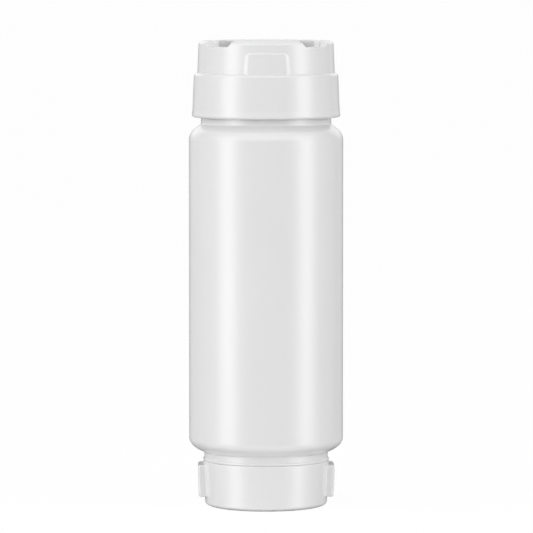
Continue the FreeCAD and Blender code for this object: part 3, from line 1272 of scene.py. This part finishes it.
    def fillet_direction(self, place: float) -> float:
        """Direction on the well's front corner of the point this far into the notch.

        Args:
            place: Distance into the notch.

        Returns:
            The direction, as a turn from the front.
        """
        centre = np.array([self.corner_x, -self.corner_y])
        missing = place + self.notch.offset - float(centre @ self.notch.across)
        return self.notch.lean + math.asin(missing / self.well_corner)

    def well_outline(self, direction: np.ndarray) -> np.ndarray:
        """Points of the well's outline, from the front corner round its arc to the back corner.

        A corner's point is its centre + direction * well_corner, and the arc's is
        direction * well.

        Args:
            direction: Outward directions, as turns from the front.

        Returns:
            The points, one per row.
        """
        away = outward(direction)
        front = direction < self.corner_turn
        corner = (front | (direction > math.pi - self.corner_turn))[:, None]
        centre = np.column_stack([np.full_like(direction, self.corner_x),
                                  np.where(front, -self.corner_y, self.corner_y)])
        return np.where(corner, centre + away * self.well_corner, away * self.well)

    # Grids: each is a part of one half of the cap, and its mirror image makes the other half.

    def skirt_profile(self) -> np.ndarray:
        """Profile from the middle of the deck's underside round the lip up to the ledge's top.

        Returns:
            The points, as radius and height.
        """
        under = self.ledge - self.deck
        lip = (self.lip - self.lip_round, self.low + self.lip_round)
        ledge = (self.skirt_top - self.ledge_round, self.ledge - self.ledge_round)
        return join(
            rounded_run([(0, under, 0), (self.bore, under, self.bore_corner),
                         (self.bore, self.low, self.bore_edge), (lip[0], self.low, 0)], 4),
            oval(lip, self.lip_round, self.lip_round, -90, 0, 12),
            rounded_run([(self.lip, lip[1], 0),
                         (self.skirt_low, self.low + self.lip_height, self.lip_bend),
                         (self.skirt_top, ledge[1], 0)], 6),
            oval(ledge, self.ledge_round, self.ledge_round, 0, 90, 18),
        )

    def crown_heights(self) -> np.ndarray:
        """Heights of the rows on the crown's wall, close together along the panel's top edge.

        Returns:
            The heights, from the ledge up.
        """
        top = self.ledge + self.panel.height
        low = self.ledge + self.ledge_fillet
        fine_from, fine_to, fine_step = self.panel_rows
        fine = np.arange(top + fine_from, top + fine_to, fine_step)
        above = np.linspace(top + self.rows_below_rim[0], self.high - self.rows_below_rim[1], 3)
        return np.concatenate([straight((low,), (fine[0],), 9)[:-1, 0], fine, above])

    def outer_grid(self, ring: np.ndarray) -> np.ndarray:
        """The cap from the deck's underside out and up to the ring, with panel and notches.

        Up to the ledge it is the turned profile.  On the crown the radius is the larger, eased,
        of the tapered wall and the panel.  Above the panel the rim's rows follow.

        Args:
            ring: Turns of the columns on the ring.

        Returns:
            The grid.
        """
        wall = self.wall_turns(ring)
        fillet = oval((self.crown_foot + self.ledge_fillet, self.ledge + self.ledge_fillet),
                      self.ledge_fillet, self.ledge_fillet, -90, -180, 3)
        heights = self.crown_heights()
        crown = np.column_stack([self.crown_radius(heights), heights])
        profile = join(self.skirt_profile(), fillet, crown)
        radius, height, turn = np.broadcast_arrays(profile[:, :1], profile[:, 1:], wall)
        near = ((height > self.ledge - self.ledge_round + 1e-9)
                & (turn < math.radians(self.panel_turn_deg)))
        reach = self.panel.reach(np.where(near, turn, 0.0), height)
        radius = np.where(near, soft_max(radius, reach, self.panel.root), radius)
        grid = np.concatenate([polar(radius, turn, height),
                               self.rim_rows(ring, wall, heights[-1])])
        grid[-1] = polar(self.ring, ring, grid[-1, :, 2])
        return grid

    def rim_rows(self, ring: np.ndarray, wall: np.ndarray, start: float) -> np.ndarray:
        """The crown's wall above the panel and the rim that each column's cut height leaves.

        A column goes up the tapered wall, round the rim's own arc up to where a small round
        edge touches it, round that edge, and in along a flat run to the ring.  Where the cut
        lies below the arc, the small edge joins the wall itself.

        Args:
            ring: Turns of the columns on the ring.
            wall: Turns of the same columns on the wall.
            start: Height where the rows start.

        Returns:
            The rows, from the wall up and inward.
        """
        spot = polar(self.ring, ring, 0.0)
        cut = self.high - self.notch.depth_at(spot[:, 0], spot[:, 1])
        edge, arc = self.notch_edge, self.rim_round
        edge_height = cut - edge
        on_arc = edge_height > self.wall_top
        above = np.maximum(edge_height - self.wall_top, 0)
        wall_end = np.minimum(edge_height, self.wall_top)
        reach = np.sqrt(np.maximum((arc - edge) ** 2 - above ** 2, 0))
        centre = np.where(on_arc, self.ring + reach, self.crown_radius(wall_end) - edge)
        touch = np.where(on_arc, np.arctan2(above, centre - self.ring), 0.0)
        arc_radius = np.where(on_arc, self.ring, centre - (arc - edge))
        arc_height = np.where(on_arc, self.wall_top, edge_height)
        rows = []
        for share in (0.3, 0.6, 0.9, 0.98, 1.0):
            height = start + (wall_end - start) * share
            rows.append((self.crown_radius(height), height))
        for angle in (touch * share for share in np.linspace(0, 1, 11)[1:]):
            rows.append((arc_radius + arc * np.cos(angle), arc_height + arc * np.sin(angle)))
        for angle in (touch + (math.pi / 2 - touch) * share for share in np.linspace(0, 1, 6)):
            rows.append((centre + edge * np.cos(angle), edge_height + edge * np.sin(angle)))
        for share in (0.05, 0.95, 1.0):
            rows.append((centre + (self.ring - centre) * share, cut))
        radius, height = (np.stack(part) for part in zip(*rows))
        inward = np.clip((self.crown_top - radius) / (self.crown_top - self.ring), 0, 1)
        return polar(radius, wall + (ring - wall) * inward, height)

    def well_lip(self, outline: np.ndarray, away: np.ndarray) -> tuple[np.ndarray, np.ndarray]:
        """Rounding of the well's edge at each outline point, and the height that it rounds off.

        The rounding shrinks from the rim's own to the notch's small one with the depth.

        Args:
            outline: Points of the well's outline.
            away: Directions out of the well at each of them.

        Returns:
            The roundings and the heights.
        """
        depth = self.notch.depth_at(outline[:, 0], outline[:, 1])
        share = 1 - depth / self.notch.depth
        rounding = self.notch_edge + (self.well_edge - self.notch_edge) * share
        edge = outline + away * rounding[:, None]
        return rounding, self.high - self.notch.depth_at(edge[:, 0], edge[:, 1])

    def side_grid(self, ring: np.ndarray, outline: np.ndarray, edge: np.ndarray,
                  cut: np.ndarray) -> np.ndarray:
        """The crown's flat top between the ring and the well, from one end of the bar to the other.

        Each column runs from the ring to a middle point, where the seam lies, and on to the
        edge of the well.  The first and last column bend to follow the bar's side, and that
        bend fades over the next ones.  The height is the rim's less the notch's depth.

        Args:
            ring: Turns of the columns on the ring.
            outline: Points of the well's outline that they lead to.
            edge: Points where the rounding of the well's edge starts.
            cut: Heights there.

        Returns:
            The grid, from the ring inward.
        """
        outer = polar(self.ring, ring, 0.0)[:, :2]
        crossing = self.ring - np.linalg.norm(outline, axis=1)
        share = np.clip((self.ring - self.notch.seam) / crossing, 0.2, 0.6)
        middle = outer + (outline - outer) * share[:, None]
        waist = np.array([self.bar, self.notch.inner[1]])
        first = waist - middle[0]
        last = waist * [1, -1] - middle[-1]
        front_bend = self.notch.front_turn(self.notch.run, self.ring) - ring[0]
        back_bend = self.back_bend * (ring[-1] - ring[0])
        fade = np.clip(1 - (ring - ring[0]) / front_bend, 0, 1)
        back_fade = np.clip(1 - (ring[-1] - ring) / back_bend, 0, 1)
        middle = middle + first * fade[:, None] + last * back_fade[:, None]
        # The rows stand close together at both ends and at the seam, half way in.
        ways = np.concatenate([[0, 0.03], np.linspace(0.1, 0.42, 6), np.linspace(0.46, 0.54, 9),
                               np.linspace(0.58, 0.95, 7), [1.0]])
        rows = []
        for way in ways:
            if way < 0.5:
                flat = outer + (middle - outer) * (2 * way)
            else:
                flat = middle + (edge - middle) * (2 * way - 1)
            height = self.high - self.notch.depth_at(flat[:, 0], flat[:, 1])
            rows.append(np.column_stack([flat, height]))
        rows[-1][:, 2] = cut
        return np.stack(rows)

    def bar_grid(self, ring: np.ndarray, border: np.ndarray) -> np.ndarray:
        """The flat bar from its middle line out to its side.

        Every row leads from the middle line to one point of the side, x in shares of it, and
        near the two ends the rows bulge out to the ring's arc.

        Args:
            ring: Turns of the columns on the ring, from the front to the bar's side.
            border: Points of the bar's side, from front to back.

        Returns:
            The grid, from front to back.
        """
        across = np.sin(ring) / np.sin(ring[-1])
        bulge = -self.ring * np.cos(ring) + self.ring * np.cos(ring[-1])
        side_x, side_y = border[:, :1], border[:, 1:2]
        stop = self.bar_bulge_end
        fade = np.clip((np.abs(side_y) - stop) / (abs(border[0, 1]) - stop), 0, 1)
        x = side_x * across
        y = side_y + np.where(side_y < 0, 1, -1) * bulge * fade
        height = self.high - self.notch.depth_at(x, y)
        height[:, -1] = border[:, 2]
        return np.stack([x, y, height], axis=-1)

    def well_grid(self, outline: np.ndarray, away: np.ndarray, rounding: np.ndarray,
                  cut: np.ndarray) -> np.ndarray:
        """The inside of a well: its rounded edge, its wall, the hollow round its floor, the floor.

        Args:
            outline: The well's outline at each column.
            away: Directions out of the well at each column.
            rounding: Rounding of its edge.
            cut: Height of the crown there.

        Returns:
            The grid, from the edge down to the middle of the floor.
        """
        floor, hollow = self.high - self.well_depth, self.well_floor_round
        wall_top, wall_low = cut - rounding, floor + hollow
        rows = []

        def row(inset: np.ndarray | float, height: np.ndarray | float) -> None:
            """Adds a row moved into the well by inset, at a height."""
            flat = outline - away * np.broadcast_to(inset, cut.shape)[:, None]
            rows.append(np.column_stack([flat, np.broadcast_to(height, cut.shape)]))

        for angle in np.radians(np.linspace(0, 90, 7)):
            row(-rounding * (1 - math.sin(angle)), cut - rounding * (1 - math.cos(angle)))
        for share in (0.02, 0.25, 0.5, 0.75, 0.98, 1.0):
            row(0.0, wall_top + (wall_low - wall_top) * share)
        for angle in np.radians(np.linspace(0, 90, 7))[1:]:
            row(hollow * (1 - math.cos(angle)), floor + hollow * (1 - math.sin(angle)))
        rim = outline - away * hollow
        middle = np.array([(self.bar + self.well) / 2, 0.0])
        for share in (0.03, 0.5, 1.0):
            flat = rim + (middle - rim) * share
            rows.append(np.column_stack([flat, np.full_like(cut, floor)]))
        return np.stack(rows)

    def build(self) -> bpy.types.Object:
        """Builds one half, mirrors it, welds both and dresses the cap.

        Returns:
            The top cap.
        """
        ring, start = self.ring_turns(), self.bar_turn
        on_bar = ring <= start + 1e-7
        behind = ring >= math.pi - start - 1e-7
        beside = (ring >= start - 1e-7) & (ring <= math.pi - start + 1e-7)
        direction = self.well_directions(ring[beside])
        outline, away = self.well_outline(direction), outward(direction)
        rounding, cut = self.well_lip(outline, away)
        edge = outline + away * rounding[:, None]

        chord_y = np.linspace(self.corner_y, -self.corner_y, 33)[1:]
        chord = np.column_stack([np.full_like(chord_y, self.bar), chord_y])
        well = self.well_grid(np.vstack([outline, chord]),
                              np.vstack([away, np.tile([-1.0, 0.0], (len(chord), 1))]),
                              np.append(rounding, np.full(len(chord), self.well_edge)),
                              np.append(cut, np.full(len(chord), self.high)))

        outer = self.outer_grid(ring)
        side = self.side_grid(ring[beside], outline, edge, cut)
        lip = np.column_stack([chord - [self.well_edge, 0], np.full(len(chord), self.high)])
        bar = self.bar_grid(ring[on_bar], np.vstack([side[:, 0], lip[-2::-1], side[::-1, -1]]))
        side[0] = outer[-1][beside]
        bar[0] = outer[-1][on_bar]
        bar[-1] = outer[-1][behind][::-1]

        skin = Skin("top_screw_cap")
        for grid in (outer, side, bar, well):
            skin.add_both_sides(grid)
        piece = skin.build()
        dress(piece, CAP_PLASTIC, Node.TOP_CAP)
        return piece


# --------------------------------------------------------------------------------------------
# Studio


@dataclass(frozen=True)
class SoftLamp:
    """A soft square-cornered lamp that faces the bottle's axis.

    Attributes:
        name: Name of the lamp.
        turn_deg: Its turn from the front, towards +X.
        climb_deg: How far above level it hangs.
        distance: Its distance from its aim.
        aim: Height on the axis that it faces.
        width: Its width.
        height: Its height.
        power: Its power, in watts.
    """

    name: str
    turn_deg: float
    climb_deg: float
    distance: float
    aim: float
    width: float
    height: float
    power: float

    def build(self) -> bpy.types.Object:
        """Hangs the lamp and turns it to its aim; the camera doesn't see it.

        Returns:
            The lamp.
        """
        data = bpy.data.lights.new(self.name, "AREA")
        data.shape = "RECTANGLE"
        data.size, data.size_y = self.width, self.height
        data.energy = self.power
        lamp = bpy.data.objects.new(self.name, data)
        turn, climb = math.radians(self.turn_deg), math.radians(self.climb_deg)
        level = self.distance * math.cos(climb)
        lamp.location = (level * math.sin(turn), -level * math.cos(turn),
                         self.aim + self.distance * math.sin(climb))
        lamp.rotation_euler = (math.pi / 2 - climb, 0, turn)
        lamp.visible_camera = False
        bpy.context.scene.collection.objects.link(lamp)
        return lamp


@dataclass(frozen=True)
class SoftSource:
    """A broad source in the surround: strength * max(0, cosine to its direction) squared.

    Attributes:
        direction: Where it lies, seen from the bottle.
        strength: Its strength in that direction.
    """

    direction: tuple[float, float, float]
    strength: float


@dataclass(frozen=True)
class ReflectionTent:
    """The tent that glossy plastic mirrors: two tall soft strips, a canopy, a back and a top.

    Only reflections show it.  A dark gap straight behind the bottle draws the dark line along
    the bottle's edges.  The tent reaches below the floor, where it stands for the floor's own
    mirror image.

    Attributes:
        radius: Its radius.
        strip_turns_deg: Turns of the two strips from the front, towards +X.
        strip_widths_deg: Turn from each strip's middle to where it has faded to 1/e.
        strip_glows: Brightness of each strip's middle.
        front_deg: Turn up to which the canopy and the floor's part reach on each side.
        low_glow: Brightness of the floor's part.
        low_edge_deg: Climb under which the floor's part lies.
        canopy_glow: Brightness of the canopy over the front.
        canopy_edge_deg: Climb where the canopy starts.
        top_glow: Brightness of the top.
        top_edge_deg: Climb where the top starts.
        back_edge_deg: Turn where the back starts.
        back_glow: Brightness of the back's level part.
        gap_deg: Turn where the dark gap straight behind the bottle starts.
        gap_glow: Brightness of that gap.
        back_high_glow: Brightness of the back's upper part.
        back_high_edge_deg: Climb where that part starts.
        front_fade_deg: Softness of the front's sides.
        climb_fade_deg: Softness between the floor's part, the level part, the canopy and the top.
        back_fade_deg: Softness of the back's sides.
        gap_fade_deg: Softness of the gap's sides and of the foot of the back's upper part.
        lowest_deg: Climb of its lower edge.
        columns: Number of points round it, less one.
        rows: Number of points up it, less one.
    """

    radius: float = 1.0
    strip_turns_deg: tuple[float, float] = (-58.0, 60.0)
    strip_widths_deg: tuple[float, float] = (17.0, 16.5)
    strip_glows: tuple[float, float] = (3.7, 3.6)
    front_deg: float = 92.0
    low_glow: float = 1.6
    low_edge_deg: float = -18.0
    canopy_glow: float = 2.5
    canopy_edge_deg: float = 32.0
    top_glow: float = 1.7
    top_edge_deg: float = 52.0
    back_edge_deg: float = 133.0
    back_glow: float = 0.42
    gap_deg: float = 159.0
    gap_glow: float = 0.12
    back_high_glow: float = 1.35
    back_high_edge_deg: float = 16.5
    front_fade_deg: float = 6.0
    climb_fade_deg: float = 3.0
    back_fade_deg: float = 4.0
    gap_fade_deg: float = 2.0
    lowest_deg: float = -88.0
    columns: int = 120
    rows: int = 132

    def glow(self, turn_deg: np.ndarray, climb_deg: np.ndarray) -> np.ndarray:
        """Brightness of the tent.

        A strip is glow * exp(-((turn - middle) / width) squared).  The parts fade into one
        another over a few degrees, as 1 / (1 + exp(-distance past the edge / softness)).

        Args:
            turn_deg: Turns from the front, from -180 to 180.
            climb_deg: Angles above level.

        Returns:
            The brightness, where 1 is white.
        """
        def past(distance: np.ndarray, softness: float) -> np.ndarray:
            """Soft step from 0 to 1 at a distance of 0."""
            return 1 / (1 + np.exp(-distance / softness))

        aside = np.abs(turn_deg)
        front = past(self.front_deg - aside, self.front_fade_deg)
        back = past(aside - self.back_edge_deg, self.back_fade_deg)
        gap = past(aside - self.gap_deg, self.gap_fade_deg)
        low = past(self.low_edge_deg - climb_deg, self.climb_fade_deg)
        canopy = past(climb_deg - self.canopy_edge_deg, self.climb_fade_deg)
        top = past(climb_deg - self.top_edge_deg, self.climb_fade_deg)
        high = past(climb_deg - self.back_high_edge_deg, self.gap_fade_deg)
        strips = sum(glow * np.exp(-((turn_deg - middle) / width) ** 2)
                     for middle, width, glow in zip(self.strip_turns_deg, self.strip_widths_deg,
                                                    self.strip_glows))
        behind = (1 - gap) * self.back_glow + gap * self.gap_glow
        behind = back * ((1 - high) * behind + high * self.back_high_glow)
        level = low * front * self.low_glow + (1 - low) * (strips + behind)
        upper = front * self.canopy_glow + behind
        return (1 - top) * ((1 - canopy) * level + canopy * upper) + top * self.top_glow

    def build(self) -> bpy.types.Object:
        """Makes the tent, a ball, and hides it from all but reflections.

        A point of it is radius * (cos(climb) in the direction of its turn, sin(climb) up), and
        the brightness of each point is kept on the mesh as "glow".

        Returns:
            The tent.
        """
        turns = np.radians(np.linspace(-180, 180, self.columns + 1))[None, :]
        climbs = np.radians(np.linspace(self.lowest_deg, 90, self.rows + 1))[:, None]
        skin = Skin("reflection_tent")
        skin.add(polar(self.radius * np.cos(climbs), turns, self.radius * np.sin(climbs)))
        tent = skin.build()
        places = np.empty(len(tent.data.vertices) * 3, np.float32)
        tent.data.vertices.foreach_get("co", places)
        x, y, z = places.reshape(-1, 3).T
        tone = self.glow(np.degrees(np.arctan2(x, -y)), np.degrees(np.arcsin(z / self.radius)))
        kept = tent.data.attributes.new("glow", "FLOAT", "POINT")
        kept.data.foreach_set("value", tone.astype(np.float32))
        material = bpy.data.materials.new("tent_cloth")
        recipe = Recipe(material)
        glow = recipe.node("ShaderNodeAttribute", {"attribute_name": "glow"}, output="Fac")
        shader = recipe.node("ShaderNodeEmission", None, {"Color": glow, "Strength": 1.0})
        recipe.node("ShaderNodeOutputMaterial", None, {"Surface": shader})
        material.cycles.emission_sampling = "NONE"
        tent.data.materials.append(material)
        tent.visible_camera = False
        tent.visible_diffuse = False
        tent.visible_shadow = False
        tent.visible_transmission = False
        return tent


@dataclass(frozen=True)
class Studio:
    """A pale floor, a white surround with broad soft sources, lamps, the tent and the camera.

    Attributes:
        sources: Broad sources that light the object.
        lamps: Lamps that light the object.
        tent: What its gloss mirrors.
        backdrop: Tone of the surround where it is seen.
        floor_tone: Tone of the floor where it is seen.
        floor_matt: Colour of the floor's matt share, which takes the object's shadow.
        floor_shadow: That share.
        floor_size: Half the floor's side.
        camera_distance: Distance of the camera from the bottle's axis.
        camera_height: Its height.
        camera_tilt_deg: How far down it looks.
        camera_turn_deg: Its turn from the front, towards +X.
        camera_aside: How far it stands to its own right.
        lens: Length of its lens, in millimetres, on a 36 mm wide sensor.
    """

    sources: tuple[SoftSource, ...] = (
        SoftSource((-0.7, -0.7, 0), 1.27),
        SoftSource((0.7, -0.7, 0), 1.25),
        SoftSource((-1, 0, 0), 1.20),
        SoftSource((1, 0, 0), 0.84),
        SoftSource((0, 1, 0), 0.75),
    )
    lamps: tuple[SoftLamp, ...] = (
        SoftLamp("left_softbox", turn_deg=-60.0, climb_deg=0.0, distance=0.45, aim=0.3,
                 width=0.2, height=0.6, power=0.31),
        SoftLamp("right_softbox", turn_deg=60.0, climb_deg=0.0, distance=0.45, aim=0.3,
                 width=0.2, height=0.6, power=0.28),
        SoftLamp("top_softbox", turn_deg=0.0, climb_deg=90.0, distance=0.7, aim=0.1,
                 width=0.6, height=0.6, power=0.38),
    )
    tent: ReflectionTent = ReflectionTent()
    backdrop: float = 0.99
    floor_tone: float = 1.04
    floor_matt: float = 0.9
    floor_shadow: float = 0.12
    floor_size: float = 30.0
    camera_distance: float = 2.040
    camera_height: float = 0.25253
    camera_tilt_deg: float = 4.023
    camera_turn_deg: float = -0.85
    camera_aside: float = 0.0002
    lens: float = 303.94

    def seen(self, recipe: Recipe) -> Value:
        """1 for rays from the camera and through gloss or glass, 0 for light on surfaces.

        Args:
            recipe: The node tree that it is used in.

        Returns:
            The share.
        """
        camera, glossy, through = (
            recipe.node("ShaderNodeLightPath", output=f"Is {kind} Ray")
            for kind in ("Camera", "Glossy", "Transmission"))
        return (camera + glossy + through).at_most(1.0)

    def build_surround(self) -> None:
        """Makes the world: plain white where it is seen, and the soft sources as light."""
        world = bpy.data.worlds.new("surround")
        bpy.context.scene.world = world
        recipe = Recipe(world)
        direction = recipe.node("ShaderNodeTexCoord", output="Generated")
        light: Value | float = 0.0
        for source in self.sources:
            facing = recipe.node("ShaderNodeVectorMath", {"operation": "DOT_PRODUCT"},
                                 {0: direction, 1: source.direction}, "Value")
            facing = facing.at_least(0.0)
            light = facing * facing * source.strength + light
        seen = self.seen(recipe)
        strength = seen * self.backdrop + (1 - seen) * light
        shader = recipe.node("ShaderNodeBackground", None,
                             {"Color": (1, 1, 1, 1), "Strength": strength})
        recipe.node("ShaderNodeOutputWorld", None, {"Surface": shader})

    def build_floor(self) -> bpy.types.Object:
        """Lays the floor: a plain pale sheet that keeps the object's shadow.

        Returns:
            The floor.
        """
        ends = np.linspace(-self.floor_size, self.floor_size, 3)
        x, y = np.meshgrid(ends, ends)
        skin = Skin("floor")
        skin.add(np.stack([x, y, np.full_like(x, -HUG)], axis=-1))
        floor = skin.build()
        material = bpy.data.materials.new("floor_paint")
        recipe = Recipe(material)
        matt = recipe.node("ShaderNodeBsdfDiffuse", None, {"Color": (*(self.floor_matt,) * 3, 1)})
        glow = recipe.node("ShaderNodeEmission", None,
                           {"Color": (1, 1, 1, 1), "Strength": self.floor_tone})
        share = self.seen(recipe) * (1 - self.floor_shadow)
        shader = recipe.node("ShaderNodeMixShader", None, {0: share, 1: matt, 2: glow})
        recipe.node("ShaderNodeOutputMaterial", None, {"Surface": shader})
        floor.data.materials.append(material)
        floor.visible_glossy = False
        return floor

    def build_camera(self) -> bpy.types.Object:
        """Sets the long-lens camera in front, a little above the bottle's middle.

        Returns:
            The camera.
        """
        data = bpy.data.cameras.new("camera")
        data.lens = self.lens
        data.clip_start, data.clip_end = 0.01, 100.0
        camera = bpy.data.objects.new("camera", data)
        turn = math.radians(self.camera_turn_deg)
        side = np.array([math.cos(turn), math.sin(turn)])
        back = outward(np.array([turn]))[0]
        place = back * self.camera_distance + side * self.camera_aside
        camera.location = (*place, self.camera_height)
        camera.rotation_euler = (math.pi / 2 - math.radians(self.camera_tilt_deg), 0, turn)
        bpy.context.scene.collection.objects.link(camera)
        bpy.context.scene.camera = camera
        return camera

    def build(self) -> None:
        """Builds the surround, floor, lamps, tent and camera."""
        bpy.context.scene.view_settings.view_transform = "Standard"
        self.build_surround()
        self.build_floor()
        for lamp in self.lamps:
            lamp.build()
        self.tent.build()
        self.build_camera()


def main() -> None:
    """Builds the three pieces and the studio, and reports each piece."""
    logging.basicConfig(level=logging.INFO, format="%(name)s: %(message)s", force=True)
    body_low, body_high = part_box(Node.BOTTLE.value)
    cap_low, cap_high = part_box(Node.TOP_CAP.value)
    foot_low, foot_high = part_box(Node.FOOT_CAP.value)
    pieces = [
        BlownBottle(body_high.x, body_low.z, body_high.z, foot_high.z, cap_low.z).build(),
        FootCap(foot_high.x, foot_low.z, foot_high.z).build(),
        TopCap(cap_high.x, cap_low.z, cap_high.z).build(),
    ]
    Studio().build()
    for piece in pieces:
        LOG.info("%s is in place", piece.name)


if __name__ == "__main__":
    main()
